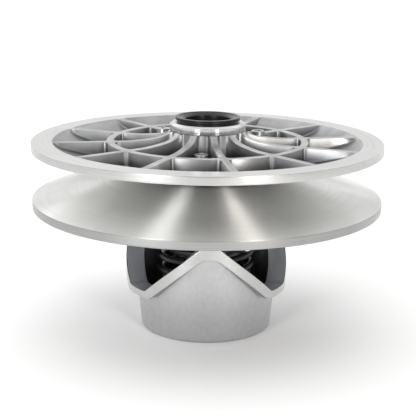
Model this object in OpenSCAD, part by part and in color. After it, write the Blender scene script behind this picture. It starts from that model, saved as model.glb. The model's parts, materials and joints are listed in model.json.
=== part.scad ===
// Driven clutch of a rubber-belt CVT: a fixed sheave on a hollow shaft, a moving sheave that
// slides and twists below it, a cup-shaped cam with three roof-shaped ramps, and the return spring.
// Origin: centre of the cup's bottom face. +Z runs up the shaft. The cam's front peak faces -Y.
// The model is drawn closed: the sheaves are as near together as they come.

/* [Sheaves] */
// Outer diameter of both sheaves
sheave_d = 273; // [260:1:290]
// Height of the machined upper rim face of the fixed sheave
fixed_top_z = 149.7; // [148:0.1:152]
// Thickness of the fixed sheave at its rim
fixed_rim_t = 6.1; // [4:0.1:8]
// Height of the moving sheave's upper rim edge
moving_top_z = 105.2; // [104:0.1:106]
// Thickness of the moving sheave at its rim
moving_rim_t = 6.6; // [4:0.1:8]
// Slope of each belt face away from a flat disc, in degrees
belt_face_angle = 13; // [12:0.5:14]
// Wall left between a belt face and the back of the casting
web_t = 6.5; // [5:0.5:8]

/* [Ribs of the fixed sheave] */
// Number of radial ribs
rib_n = 12; // [9:3:15]
// Thickness of a rib
rib_t = 4.6; // [3:0.1:6]
// Radius of the ring rib that ties the radial ribs together
ring_r = 75.8; // [70:0.5:90]
// Angle of the first rib from the -Y direction, in degrees
rib_phase = 6.4; // [0:0.1:30]
// Number of puller bosses
boss_n = 3; // [3:1:4]
// Distance of a boss from the shaft's axis
boss_r = 43.7; // [41:0.1:46]
// Diameter of a boss
boss_d = 10.8; // [9:0.1:13]
// Diameter of the hole in a boss
boss_hole_d = 5; // [4:0.1:6]

/* [Shaft] */
// Outer diameter of the shaft
shaft_d = 44; // [40:0.5:46]
// Diameter of the open bore at the top of the shaft
bore_d = 36; // [32:0.5:38]
// Diameter of the pilot bore at the bottom of the shaft
pilot_d = 30; // [26:0.5:32]
// Height of the top of the shaft's flange
shaft_top_z = 168; // [166:0.5:172]

/* [Cam] */
// Outer radius of the cup at its bottom edge
cup_r = 52; // [50:0.5:54]
// Outer radius of the flange and the ramps
flange_r = 64; // [60:0.5:66]
// Height of the flange's underside in the valleys
valley_low_z = 33; // [32:0.5:36]
// Height of the flange's upper face in the valleys
valley_top_z = 38.5; // [36:0.5:40]
// Angle from a peak to the foot of its ramp, in degrees
ramp_foot = 50; // [46:0.5:54]
// Rise of the ramp for each degree around the axis
ramp_rise = 0.906; // [0.8:0.002:1]
// Height of the ramp band, measured straight up
ramp_band_h = 9.6; // [8:0.1:11]
// Height of the flat peaks
cam_top_z = 80; // [76:0.5:84]

/* [Motion] */
// How far the moving sheave slides to open the groove
travel = 28; // [20:1:30]
// Radius of a cam roller
roller_r = 8.5; // [7.5:0.1:9]
// Angle from a peak to its roller when the clutch is closed, in degrees
roller_phase = 13; // [12:0.5:14]
// Distance of the middle of a roller from the shaft's axis
roller_mid_r = 57; // [56:0.5:58]

/* [Spring] */
// Diameter of the spring wire
wire_d = 5.6; // [4.5:0.1:6]
// Outer diameter of the spring
spring_od = 79; // [77:0.5:80]
// Number of open turns
spring_turns = 6; // [5:1:7]

/* [Hidden] */
$fn = 96;
eps = 0.01;                 // overlap that joins touching shapes of one casting
through = 1;                // how far a cut runs past a face
run_gap = 0.04;             // radial running clearance of turning and sliding fits
part_gap = 0.1;             // gap between a loose ring and what it lies against
face_tan = tan(belt_face_angle);
sheave_r = sheave_d / 2;
shaft_r = shaft_d / 2;
fixed_low_z = fixed_top_z - fixed_rim_t;
moving_low_z = moving_top_z - moving_rim_t;
hub_face_r = 58;            // inside this radius the two belt faces give way to flat hubs

// Height of each belt face at radius r; the fixed sheave's runs on as its flat hub
function fixed_face(r) = fixed_low_z - (sheave_r - max(r, hub_face_r)) * face_tan;
function moving_face(r) = moving_top_z + (sheave_r - r) * face_tan;
// A point on a circle, with the angle measured from -Y towards +X
function around(r, angle) = [r * sin(angle), -r * cos(angle)];

// Fixed sheave
rim_face_r = 120.8;         // inner edge of the machined rim ring
floor_turn_r = 104;         // where the floor's curve up to the rim starts
floor_bend_r = 114;
floor_turn_h = 2.2;         // how far the floor lies above its cone at the bend
hub_r = 27;                 // hub below the collar
collar_r = 29.6;
collar_low_z = 157.4;
collar_top_z = 163.8;
collar_bevel = 1.2;
hub_flare_h = 6;            // fillet between the floor and the hub
hub_flare_w = 8;
boss_top_z = 154;
boss_first_top_z = 146.4;     // the boss between the two front ribs is cast lower
boss_hole_depth = 14;
rib_top_z = fixed_top_z - 0.3;
rib_level_r = ring_r - 14;  // outside this radius the rib tops are level
rib_flare_r = 46;           // from here the ribs sweep up to the collar
rib_flare_z = 151;
rib_sweep_r = 34;
rib_sweep_z = 153.2;
sunk = 2;                   // how far ribs and bosses reach into the disc
rib_phase_boss = rib_phase - 180 / rib_n;

// Shaft
flange_top_r = 25.3;
flange_top_t = 3;
flange_neck_r = 24;
flange_neck_t = 1.2;
pilot_top_z = 36;
shaft_low_z = 1.4;
o_ring_z = 46;
o_ring_d = 3;
snap_groove_z = 3;
snap_t = 1.8;
snap_depth = 1.2;
snap_w = 2;                 // how far the snap ring stands out of its groove
snap_gap = 8;

// Cam
cup_draft = 2.6;            // how much wider the cup is at the flange than at its bottom
cup_edge_r = 2.4;           // width and height of the bevelled bottom edge
cup_floor_t = 8;
cup_inner_r = 47;
spigot_r = 31;
spigot_top_z = 23;
recess_r = 27;
recess_z = 6;
peaks = [0, 120, 240];      // angles of the ramps' peaks, and what the roller sets turn by
peak_low_z = 69;
ramp_in_r = 49.6;
ramp_steps = 6;
key_w = 6;
key_h = 5;
key_low_z = 8.5;
key_len = 13;

// Moving sheave
back_r = 68;                // the ribs stop here to clear the cam
rim_back_r = 122;
boss_under_r = 44.5;        // underside boss that the spring pushes on
boss_under_z = 97.5;
hub_out_r = 30;
hub_low_z = spigot_top_z + travel + 9;
moving_rib_low_z = cam_top_z + travel + 2.4;
bush_t = 2.4;
bush_len = 14;
wiper_t = 3;
clip_t = 1.4;
clip_out_r = shaft_r + bush_t + 0.9;
bush_low_z = hub_low_z + wiper_t + 0.6;
moving_hub_top = moving_face(hub_face_r);
bush_up_z = moving_hub_top - wiper_t - 0.6 - bush_len;
clip_heights = [bush_low_z + bush_len + 0.1, bush_up_z - clip_t - 0.1];
stop_t = fixed_face(hub_face_r) - moving_hub_top - 2 * part_gap;
moving_rib_n = 12;
moving_rib_t = 4;

// Rollers and their towers
roller_half_w = 5;
roller_gap = 0.2;           // least gap between a roller and its ramp, at the roller's inner end
ramp_slope = ramp_rise * 180 / PI / (roller_mid_r - roller_half_w);
roller_z = valley_top_z + (ramp_foot - roller_phase) * ramp_rise
           + (roller_r + roller_gap) * sqrt(1 + pow(ramp_slope, 2));
tower_in_r = 43.6;
tower_out_r = 50.6;
tower_half_w = 7.8;
pin_r = 3.5;
pin_head_r = 5.5;
pin_head_t = 1.6;
roller_bush_r = 5;
shim_t = 0.9;
shim_r = 6.2;
keeper_t = 2;
keeper_in_r = roller_mid_r + roller_half_w + shim_t + 0.5;
keeper_half_h = 5.6;
screw_side = 13;            // how far the keeper screw stands beside the pin
screw_drop = 3.5;           // and how far below it
screw_r = 2.5;
screw_head_r = 4;
screw_head_t = 2.6;
socket_r = 1.9;
socket_depth = 1.4;
ear_r = 4.2;
standoff_r = 3.3;
tower_top_z = moving_face(tower_out_r) - 3;

// Spring and its seats
seat_t = 2;
spring_mean_r = (spring_od - wire_d) / 2;
seat_low_z = cup_floor_t + part_gap;
thrust_t = 2;
thrust_z = boss_under_z - part_gap - thrust_t;
seat_up_z = thrust_z - part_gap - seat_t;
spring_low_z = seat_low_z + seat_t + part_gap;
spring_high_z = seat_up_z - part_gap;
seat_gap = 0.3;
seat_out_r = 41.4;
seat_lip_r = 33.2;
seat_lip_h = 6;
wire_sides = 8;
ring_step = 18;             // degrees between the spring's cross-sections

// A flat ring around the shaft's axis
module ring(r_out, r_in, z, h) {
    translate([0, 0, z]) difference() {
        cylinder(r = r_out, h = h);
        translate([0, 0, -through]) cylinder(r = r_in, h = h + 2 * through);
    }
}

// Children turned about +Z so that what lies on -Y goes to the angle given
module at_angle(angle) {
    rotate([0, 0, angle]) children();
}

// A straight radial rib on -Y, whose side outline is given as radius and height
module rib(points, thickness) {
    rotate([90, 0, -90]) translate([0, 0, -thickness / 2])
        linear_extrude(thickness) polygon(points);
}

/* ---- fixed sheave and shaft ---- */

// Solid of the disc, from its belt face up to the floor behind it
module fixed_web() {
    rotate_extrude() polygon([
        [shaft_r + run_gap, fixed_face(hub_face_r)],
        [hub_face_r, fixed_face(hub_face_r)],
        [sheave_r, fixed_low_z],
        [sheave_r, fixed_top_z - 0.5],
        [sheave_r - 0.5, fixed_top_z],
        [rim_face_r, fixed_top_z],
        [floor_bend_r, fixed_face(floor_bend_r) + web_t + floor_turn_h],
        [floor_turn_r, fixed_face(floor_turn_r) + web_t],
        [hub_face_r, fixed_face(hub_face_r) + web_t],
        [hub_r + hub_flare_w, fixed_face(hub_r) + web_t],
        [hub_r, fixed_face(hub_r) + web_t + hub_flare_h],
        [hub_r, collar_low_z],
        [collar_r, collar_low_z],
        [collar_r, collar_top_z - collar_bevel],
        [collar_r - 2 * collar_bevel, collar_top_z],
        [shaft_r + run_gap, collar_top_z]]);
}

// One radial rib: level with the rim outside the ring rib, then sweeping up to the collar
module fixed_rib() {
    rib([[hub_r - through, fixed_face(hub_r) + sunk],
         [hub_face_r, fixed_face(hub_face_r) + sunk],
         [rim_face_r - 2, fixed_face(rim_face_r) + sunk],
         [rim_face_r + eps, rib_top_z],
         [rib_level_r, rib_top_z],
         [rib_flare_r, rib_flare_z],
         [rib_sweep_r, rib_sweep_z],
         [collar_r, collar_low_z + eps],
         [hub_r - through, collar_low_z + eps]], rib_t);
}

function boss_top(i) = i == 0 ? boss_first_top_z : boss_top_z;

module boss_holes(depth) {
    for (i = [0 : boss_n - 1])
        at_angle(rib_phase_boss + i * 360 / boss_n)
            translate([0, -boss_r, boss_top_z - depth])
                cylinder(d = boss_hole_d, h = depth + through, $fn = 32);
}

module fixed_sheave() {
    color([0.80, 0.80, 0.79]) difference() {
        union() {
            fixed_web();
            ring(ring_r + rib_t / 2, ring_r - rib_t / 2, fixed_face(ring_r) + sunk,
                 rib_top_z - fixed_face(ring_r) - sunk);
            for (i = [0 : rib_n - 1]) at_angle(rib_phase + i * 360 / rib_n) fixed_rib();
            for (i = [0 : boss_n - 1])
                at_angle(rib_phase_boss + i * 360 / boss_n)
                    translate([0, -boss_r, fixed_face(boss_r) + sunk])
                        cylinder(d = boss_d, h = boss_top(i) - fixed_face(boss_r) - sunk);
        }
        boss_holes(boss_hole_depth);
        translate([0, 0, fixed_face(0) - through])
            cylinder(r = shaft_r + run_gap, h = collar_top_z - fixed_face(0) + 2 * through);
    }
}

module drive_shaft() {
    color([0.13, 0.13, 0.13]) difference() {
        rotate_extrude() polygon([
            [pilot_d / 2, shaft_low_z],
            [shaft_r - 0.8, shaft_low_z],
            [shaft_r, shaft_low_z + 0.8],
            [shaft_r, collar_top_z + part_gap],
            [flange_neck_r, collar_top_z + part_gap],
            [flange_neck_r, collar_top_z + part_gap + flange_neck_t],
            [flange_top_r, shaft_top_z - flange_top_t + 0.4],
            [flange_top_r, shaft_top_z - 0.4],
            [flange_top_r - 0.4, shaft_top_z],
            [bore_d / 2 + 1.5, shaft_top_z],
            [bore_d / 2, shaft_top_z - 1.5],
            [bore_d / 2, pilot_top_z + 3],
            [pilot_d / 2, pilot_top_z]]);
        ring(shaft_r + through, shaft_r - snap_depth, snap_groove_z, snap_t);
        translate([0, 0, o_ring_z]) rotate_extrude()
            translate([bore_d / 2 + 0.3, 0]) circle(d = o_ring_d, $fn = 32);
        for (side = [0, 180]) rotate([0, 0, side])
            translate([shaft_r - key_h / 2, -key_w / 2, key_low_z])
                cube([key_h, key_w, key_len]);
    }
}

module bore_o_ring() {
    color([0.08, 0.08, 0.08]) translate([0, 0, o_ring_z]) rotate_extrude()
        translate([bore_d / 2 + 0.3, 0]) circle(d = o_ring_d - 0.04, $fn = 32);
}

module stop_washer() {
    color([0.85, 0.83, 0.76])
        ring(hub_out_r, shaft_r + run_gap, moving_hub_top + part_gap, stop_t);
}

/* ---- cam ---- */

// Height of the ramp line at an angle from its peak, carried on past its foot and its peak
function ramp_line(angle) = valley_top_z + (ramp_foot - abs(angle)) * ramp_rise;
// Angle at which the ramp line reaches a height
function ramp_angle(z) = ramp_foot - (z - valley_top_z) / ramp_rise;

// Solid between two heights that are lists, one value for each angle, from r_in to r_out
module swept_wedge(angles, lows, highs, r_in, r_out) {
    n = len(angles);
    points = [for (i = [0 : n - 1]) let (p = around(r_in, angles[i]), q = around(r_out, angles[i]))
              each [[p[0], p[1], lows[i]], [q[0], q[1], lows[i]],
                    [q[0], q[1], highs[i]], [p[0], p[1], highs[i]]]];
    sides = [for (i = [0 : n - 2]) let (b = 4 * i)
             each [[b, b + 1, b + 4], [b + 1, b + 5, b + 4],
                   [b + 1, b + 2, b + 5], [b + 2, b + 6, b + 5],
                   [b + 2, b + 3, b + 6], [b + 3, b + 7, b + 6],
                   [b + 3, b, b + 7], [b, b + 4, b + 7]]];
    last = 4 * (n - 1);
    polyhedron(points, concat([[0, 3, 2], [0, 2, 1],
        [last, last + 1, last + 2], [last, last + 2, last + 3]], sides));
}

// Space over a valley: down the right-hand ramp of one peak and up the left-hand one of the next
module window_space() {
    start = ramp_angle(cam_top_z + 2);
    ramp = [for (i = [0 : ramp_steps]) start + i * (ramp_foot - start) / ramp_steps];
    angles = concat(ramp, [for (i = [ramp_steps : -1 : 0]) peaks[1] - ramp[i]]);
    lows = [for (a = angles) ramp_line(min(a, peaks[1] - a))];
    highs = [for (a = angles) cam_top_z + 10];
    swept_wedge(angles, lows, highs, cup_inner_r - 8, flange_r + 10);
}

// Space under the band of a peak
module band_space() {
    foot = ramp_angle(valley_low_z - 3 + ramp_band_h);
    head = ramp_angle(peak_low_z + ramp_band_h);
    right = [for (i = [0 : ramp_steps]) head + i * (foot - head) / ramp_steps];
    angles = concat([for (i = [ramp_steps : -1 : 0]) -right[i]], right);
    lows = [for (a = angles) valley_low_z - 8];
    highs = [for (a = angles) ramp_line(a) - ramp_band_h];
    swept_wedge(angles, lows, highs, cup_inner_r - 8, flange_r + 10);
}

// Wall, floor and central spigot of the cup, its wall as high as the peaks
module cup_shell() {
    rotate_extrude() polygon([
        [recess_r, 0],
        [cup_r - cup_edge_r, 0],
        [cup_r, cup_edge_r],
        [cup_r + cup_draft, valley_low_z],
        [cup_r + cup_draft + 1, cam_top_z],
        [ramp_in_r, cam_top_z],
        [ramp_in_r, valley_low_z],
        [cup_inner_r, valley_low_z - 5],
        [cup_inner_r, cup_floor_t],
        [spigot_r, cup_floor_t],
        [spigot_r, spigot_top_z],
        [shaft_r + run_gap, spigot_top_z],
        [shaft_r + run_gap, recess_z],
        [recess_r, recess_z]]);
}

// Flange and band around the cup, before the windows are cut out of it
module cam_band() {
    difference() {
        ring(flange_r, ramp_in_r + 2, valley_low_z, cam_top_z - valley_low_z);
        for (peak = peaks) at_angle(peak) band_space();
    }
}

module cam_cup() {
    color([0.72, 0.73, 0.74]) difference() {
        union() {
            cup_shell();
            cam_band();
        }
        for (peak = peaks) at_angle(peak) window_space();
        for (side = [0, 180]) rotate([0, 0, side])
            translate([shaft_r - key_h / 2, -key_w / 2, key_low_z])
                cube([key_h, key_w, key_len]);
    }
}

module cam_keys() {
    color([0.55, 0.56, 0.58]) for (side = [0, 180]) rotate([0, 0, side])
        translate([shaft_r - key_h / 2 + 0.02, -key_w / 2 + 0.02, key_low_z + 0.05])
            cube([key_h - 0.04, key_w - 0.04, key_len - 0.1]);
}

module cam_washer() {
    color([0.62, 0.63, 0.65])
        ring(recess_r - 0.4, shaft_r + run_gap, snap_groove_z + snap_t + 0.02,
             recess_z - snap_groove_z - snap_t - 0.04);
}

module cam_snap_ring() {
    color([0.20, 0.20, 0.21]) difference() {
        ring(shaft_r + snap_w, shaft_r - snap_depth + 0.02, snap_groove_z + 0.02, snap_t - 0.04);
        translate([-snap_gap / 2, -shaft_r - snap_gap, 0])
            cube([snap_gap, 2 * snap_gap, snap_gap]);
    }
}

/* ---- spring ---- */

// Flanged ring whose lip reaches into the end of the spring
module spring_seat(z, lip_z, in_r) {
    color([0.16, 0.16, 0.17]) difference() {
        union() {
            translate([0, 0, z]) cylinder(r = seat_out_r, h = seat_t);
            translate([0, 0, lip_z]) cylinder(r = seat_lip_r, h = seat_lip_h);
        }
        translate([0, 0, z - 2 * seat_lip_h]) cylinder(r = in_r, h = 4 * seat_lip_h);
    }
}

module spring_seat_lower() { spring_seat(seat_low_z, seat_low_z, spigot_r + seat_gap); }
module spring_seat_upper() {
    spring_seat(seat_up_z, seat_up_z + seat_t - seat_lip_h, hub_out_r + seat_gap);
}

module thrust_washer() {
    color([0.85, 0.83, 0.76]) ring(seat_out_r, hub_out_r + seat_gap, thrust_z, thrust_t);
}

// Centre line of the wire: a closed turn at each end and open turns between
all_turns = spring_turns + 2;
coil_low = spring_low_z + wire_d / 2;
coil_high = spring_high_z - wire_d / 2;
closed_rise = wire_d * 1.04;
function coil_z(turn) =
    turn < 1 ? coil_low + turn * closed_rise :
    turn > all_turns - 1 ? coil_high - (all_turns - turn) * closed_rise :
    coil_low + closed_rise
        + (turn - 1) / spring_turns * (coil_high - coil_low - 2 * closed_rise);

module spring() {
    rings = floor(all_turns * 360 / ring_step);
    wire_r = wire_d / 2 - 0.05;
    points = [for (i = [0 : rings], k = [0 : wire_sides - 1])
              let (t = i / rings * all_turns, a = 360 * t, b = 360 * k / wire_sides,
                   r = spring_mean_r + wire_r * cos(b))
              [r * cos(a), r * sin(a), coil_z(t) + wire_r * sin(b)]];
    sides = [for (i = [0 : rings - 1], k = [0 : wire_sides - 1])
             let (a = i * wire_sides + k, b = i * wire_sides + (k + 1) % wire_sides)
             each [[a, a + wire_sides, b], [b, a + wire_sides, b + wire_sides]]];
    first = [for (k = [0 : wire_sides - 1]) k];
    last = [for (k = [wire_sides - 1 : -1 : 0]) rings * wire_sides + k];
    color([0.07, 0.07, 0.08]) polyhedron(points, concat([first], [last], sides));
}

/* ---- moving sheave ---- */

// Disc with its smooth belt face on top, hub down inside the spring
module moving_web() {
    rotate_extrude() polygon([
        [shaft_r + bush_t, hub_low_z],
        [hub_out_r, hub_low_z],
        [hub_out_r, boss_under_z],
        [boss_under_r, boss_under_z],
        [boss_under_r, moving_face(tower_in_r + 6) - web_t - 4],
        [tower_in_r + 6, moving_face(tower_in_r + 6) - web_t],
        [rim_back_r - 6, moving_face(rim_back_r - 6) - web_t],
        [rim_back_r, moving_low_z],
        [sheave_r, moving_low_z],
        [sheave_r, moving_top_z],
        [hub_face_r, moving_hub_top],
        [shaft_r + bush_t, moving_hub_top]]);
}

module moving_rib() {
    rib([[boss_under_r - 2, moving_rib_low_z],
         [back_r, moving_rib_low_z],
         [back_r + 6, moving_low_z + 2],
         [rim_back_r + eps, moving_low_z],
         [rim_back_r + eps, moving_low_z + 3],
         [back_r, moving_face(back_r) - 3],
         [boss_under_r - 2, moving_face(hub_face_r) - 3]], moving_rib_t);
}

// Children placed on the radial axis of a roller pin: local +Z points out along the pin
module on_pin(side) {
    at_angle(roller_phase + side) translate([0, 0, roller_z]) rotate([90, 0, 0]) children();
}

// Tower that carries one roller pin, with an ear for the keeper screw
module tower(side) {
    on_pin(side) difference() {
        union() {
            translate([0, 0, tower_in_r]) cylinder(r = tower_half_w, h = tower_out_r - tower_in_r);
            translate([-tower_half_w, 0, tower_in_r])
                cube([2 * tower_half_w, tower_top_z - roller_z, tower_out_r - tower_in_r]);
            translate([screw_side - ear_r, -screw_drop, tower_in_r])
                cube([2 * ear_r, tower_top_z - roller_z + screw_drop, tower_out_r - tower_in_r]);
            translate([screw_side, -screw_drop, tower_in_r])
                cylinder(r = ear_r, h = tower_out_r - tower_in_r);
            translate([screw_side, -screw_drop, tower_out_r - eps])
                cylinder(r = standoff_r, h = keeper_in_r - tower_out_r - eps);
        }
        translate([0, 0, tower_in_r - through])
            cylinder(r = pin_r + 0.01, h = tower_out_r - tower_in_r + 2 * through);
        translate([screw_side, -screw_drop, tower_in_r - through])
            cylinder(r = screw_r + 0.01, h = keeper_in_r - tower_in_r + 2 * through);
    }
}

module moving_sheave() {
    color([0.76, 0.77, 0.76]) difference() {
        union() {
            moving_web();
            for (i = [0 : moving_rib_n - 1])
                at_angle(roller_phase + 15 + i * 360 / moving_rib_n) moving_rib();
            for (side = peaks) tower(side);
        }
        translate([0, 0, hub_low_z - through])
            cylinder(r = shaft_r + bush_t, h = moving_hub_top - hub_low_z + 2 * through);
        for (z = clip_heights) translate([0, 0, z - 0.05])
            cylinder(r = clip_out_r + 0.05, h = clip_t + 0.1);
    }
}

module bush(z) {
    color([0.68, 0.52, 0.28]) ring(shaft_r + bush_t - 0.01, shaft_r + run_gap, z, bush_len);
}

module bush_lower() { bush(bush_low_z); }
module bush_upper() { bush(bush_up_z); }

module wiper(z) {
    color([0.10, 0.10, 0.10]) ring(shaft_r + bush_t - 0.01, shaft_r + run_gap, z, wiper_t);
}

module wiper_lower() { wiper(hub_low_z + 0.3); }
module wiper_upper() { wiper(moving_hub_top - wiper_t - 0.3); }

module bush_clip() {
    color([0.25, 0.25, 0.26]) for (z = clip_heights)
        ring(clip_out_r, shaft_r + bush_t - 1.4, z, clip_t);
}

/* ---- rollers ---- */

module roller(side) {
    color([0.09, 0.09, 0.09]) on_pin(side) translate([0, 0, roller_mid_r - roller_half_w])
        difference() {
            union() {
                translate([0, 0, 0.8]) cylinder(r = roller_r, h = 2 * roller_half_w - 1.6);
                cylinder(r = roller_r - 0.8, h = 2 * roller_half_w);
            }
            translate([0, 0, -through])
                cylinder(r = roller_bush_r, h = 2 * roller_half_w + 2 * through);
        }
}

module roller_bush(side) {
    color([0.68, 0.52, 0.28]) on_pin(side) translate([0, 0, roller_mid_r - roller_half_w])
        difference() {
            cylinder(r = roller_bush_r - 0.01, h = 2 * roller_half_w);
            translate([0, 0, -through])
                cylinder(r = pin_r + run_gap, h = 2 * roller_half_w + 2 * through);
        }
}

module roller_pin(side) {
    color([0.60, 0.61, 0.63]) on_pin(side) {
        translate([0, 0, tower_in_r]) cylinder(r = pin_r, h = keeper_in_r - 0.05 - tower_in_r);
        translate([0, 0, tower_in_r - pin_head_t]) cylinder(r = pin_head_r, h = pin_head_t - 0.02);
        translate([0, 0, tower_in_r - 0.5]) cylinder(r = pin_r, h = 1);
    }
}

module roller_shims(side) {
    color([0.62, 0.63, 0.65]) on_pin(side)
        for (z = [roller_mid_r - roller_half_w - shim_t - 0.05, roller_mid_r + roller_half_w + 0.05])
            translate([0, 0, z]) difference() {
                cylinder(r = shim_r, h = shim_t);
                translate([0, 0, -through])
                    cylinder(r = pin_r + 0.02, h = shim_t + 2 * through);
            }
}

module keeper(side) {
    color([0.18, 0.18, 0.19]) on_pin(side) translate([0, 0, keeper_in_r]) difference() {
        union() {
            cylinder(r = keeper_half_h, h = keeper_t);
            translate([screw_side, -screw_drop, 0]) cylinder(r = keeper_half_h, h = keeper_t);
            rotate([0, 0, -atan(screw_drop / screw_side)])
                translate([0, -keeper_half_h, 0])
                    cube([sqrt(pow(screw_side, 2) + pow(screw_drop, 2)), 2 * keeper_half_h, keeper_t]);
        }
        translate([screw_side, -screw_drop, -through])
            cylinder(r = screw_r + 0.2, h = keeper_t + 2 * through);
    }
}

module keeper_screw(side) {
    color([0.80, 0.80, 0.80]) on_pin(side) translate([screw_side, -screw_drop, 0]) {
        translate([0, 0, tower_in_r + 1])
            cylinder(r = screw_r, h = keeper_in_r + keeper_t - tower_in_r - 1);
        difference() {
            translate([0, 0, keeper_in_r + keeper_t]) cylinder(r = screw_head_r, h = screw_head_t);
            translate([0, 0, keeper_in_r + keeper_t + screw_head_t - socket_depth])
                cylinder(r = socket_r, h = screw_head_t, $fn = 6);
        }
    }
}

module roller_pin_a() { roller_pin(peaks[0]); }
module roller_pin_b() { roller_pin(peaks[1]); }
module roller_pin_c() { roller_pin(peaks[2]); }
module roller_a() { roller(peaks[0]); }
module roller_b() { roller(peaks[1]); }
module roller_c() { roller(peaks[2]); }
module roller_bush_a() { roller_bush(peaks[0]); }
module roller_bush_b() { roller_bush(peaks[1]); }
module roller_bush_c() { roller_bush(peaks[2]); }
module roller_shims_a() { roller_shims(peaks[0]); }
module roller_shims_b() { roller_shims(peaks[1]); }
module roller_shims_c() { roller_shims(peaks[2]); }
module keeper_a() { keeper(peaks[0]); }
module keeper_b() { keeper(peaks[1]); }
module keeper_c() { keeper(peaks[2]); }
module keeper_screw_a() { keeper_screw(peaks[0]); }
module keeper_screw_b() { keeper_screw(peaks[1]); }
module keeper_screw_c() { keeper_screw(peaks[2]); }

fixed_sheave();
drive_shaft();
bore_o_ring();
stop_washer();
cam_cup();
cam_keys();
cam_washer();
cam_snap_ring();
spring_seat_lower();
spring();
spring_seat_upper();
thrust_washer();
moving_sheave();
bush_upper();
bush_lower();
wiper_upper();
wiper_lower();
bush_clip();
roller_pin_a();
roller_pin_b();
roller_pin_c();
roller_a();
roller_b();
roller_c();
roller_bush_a();
roller_bush_b();
roller_bush_c();
roller_shims_a();
roller_shims_b();
roller_shims_c();
keeper_a();
keeper_b();
keeper_c();
keeper_screw_a();
keeper_screw_b();
keeper_screw_c();
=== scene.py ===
"""Visual model of a driven CVT clutch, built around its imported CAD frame.

Lengths are millimetres here, and piece() turns them into metres. Angles around the shaft are
degrees from -Y towards +X, as in the CAD model.
"""
import json
import math

import bmesh
import bpy
from mathutils import Matrix, Vector

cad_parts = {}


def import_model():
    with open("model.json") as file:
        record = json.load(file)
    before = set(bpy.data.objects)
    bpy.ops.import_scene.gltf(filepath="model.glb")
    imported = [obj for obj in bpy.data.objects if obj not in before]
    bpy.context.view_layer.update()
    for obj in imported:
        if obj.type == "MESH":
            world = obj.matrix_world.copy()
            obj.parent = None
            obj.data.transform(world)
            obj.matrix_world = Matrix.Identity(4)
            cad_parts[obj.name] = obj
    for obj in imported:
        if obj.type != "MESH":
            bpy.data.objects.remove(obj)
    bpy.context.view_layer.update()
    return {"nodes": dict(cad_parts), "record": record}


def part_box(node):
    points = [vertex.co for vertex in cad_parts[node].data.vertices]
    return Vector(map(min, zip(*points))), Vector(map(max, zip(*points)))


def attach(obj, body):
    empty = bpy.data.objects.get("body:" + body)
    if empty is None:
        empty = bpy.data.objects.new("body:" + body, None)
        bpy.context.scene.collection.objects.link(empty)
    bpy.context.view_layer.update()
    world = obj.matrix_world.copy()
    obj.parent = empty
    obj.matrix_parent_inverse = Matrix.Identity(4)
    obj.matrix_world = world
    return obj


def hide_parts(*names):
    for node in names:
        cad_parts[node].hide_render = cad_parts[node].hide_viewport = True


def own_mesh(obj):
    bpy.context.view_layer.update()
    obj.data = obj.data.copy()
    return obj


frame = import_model()

MM = 0.001
ROOT = "shaft_and_cam"
MOVING = "moving_half"
SMOOTH_ANGLE = 34           # degrees between two faces, from which the edge stays crisp
WELD = 0.002                # points closer than this become one


def reach(node):
    """Outer radius, lowest and highest point of a CAD node that is round about the shaft."""
    low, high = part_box(node)
    return high.x / MM, low.z / MM, high.z / MM


# ---- sizes: heights and radii come from the frame, the rest repeats the CAD model's ----

SHEAVE_R, FIXED_HUB_Z, COLLAR_TOP = reach("fixed_sheave")
_, HUB_LOW, MOVING_HUB_Z = reach("moving_sheave")
_, SHAFT_LOW, SHAFT_TOP = reach("drive_shaft")
_, _, CAM_TOP = reach("cam_cup")
_, SPRING_LOW, SPRING_HIGH = reach("spring")
FACE_TAN = math.tan(math.radians(13))
HUB_FACE_R = 58.0
FIXED_LOW = FIXED_HUB_Z + (SHEAVE_R - HUB_FACE_R) * FACE_TAN
FIXED_TOP = FIXED_LOW + 6.1
MOVING_TOP = MOVING_HUB_Z - (SHEAVE_R - HUB_FACE_R) * FACE_TAN
MOVING_LOW = MOVING_TOP - 6.6
WEB = 6.5                   # thickness of a sheave between its face and its pockets
EDGE_BAND = 1.2             # strip beside a sheave's rounded edge, which keeps the rest crisp
SHAFT_R = 22.0
SHAFT_FIT = 22.04
BORE_R = 18.0
PILOT_R = 15.0
COLLAR_R = 29.6
COLLAR_LOW = 157.4
HUB_R = 27.0
RIM_FACE_R = 120.8
RING_R = 75.8
RIB_HALF = 2.3
RIB_PHASE = 6.4
RIB_TOP = FIXED_TOP - 0.3
NECK_R = RING_R - 14        # from here the rib tops rise towards the collar
NECK_RISE = 3.4
RIBS = 12
HALF_SECTOR = math.pi / RIBS
BOSS_R = 43.7
BOSS_TOP = 154.0
BOSS_FIRST_TOP = 146.4
MOVING_RIM_IN = 122.0
SPRING_SEAT_R = 44.5
SPRING_SEAT_Z = 97.5
TOWER_RIB_LOW = 110.4       # underside of the moving sheave's ribs beside the towers
PEAKS = (0, 120, 240)       # degrees to the cam's peaks, and what the roller sets turn by
ROLLER_PHASE = 13.0
ROLLER_R = 8.5
ROLLER_MID = 57.0
ROLLER_HALF = 5.0
ROLLER_Z = (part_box("roller_a")[0].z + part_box("roller_a")[1].z) / 2 / MM
TOWER_IN = 43.6
TOWER_OUT = 50.6
SCREW_SIDE = 13.0
SCREW_DROP = 3.5
KEEPER_IN = 63.4
KEEPER_T = 2.0


# ---- mesh helpers ----

def arc(cx, cy, r, start, end, steps):
    """Points of an arc, both ends included, with angles in degrees."""
    turn = [math.radians(start + (end - start) * i / steps) for i in range(steps + 1)]
    return [(cx + r * math.cos(t), cy + r * math.sin(t)) for t in turn]


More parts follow.
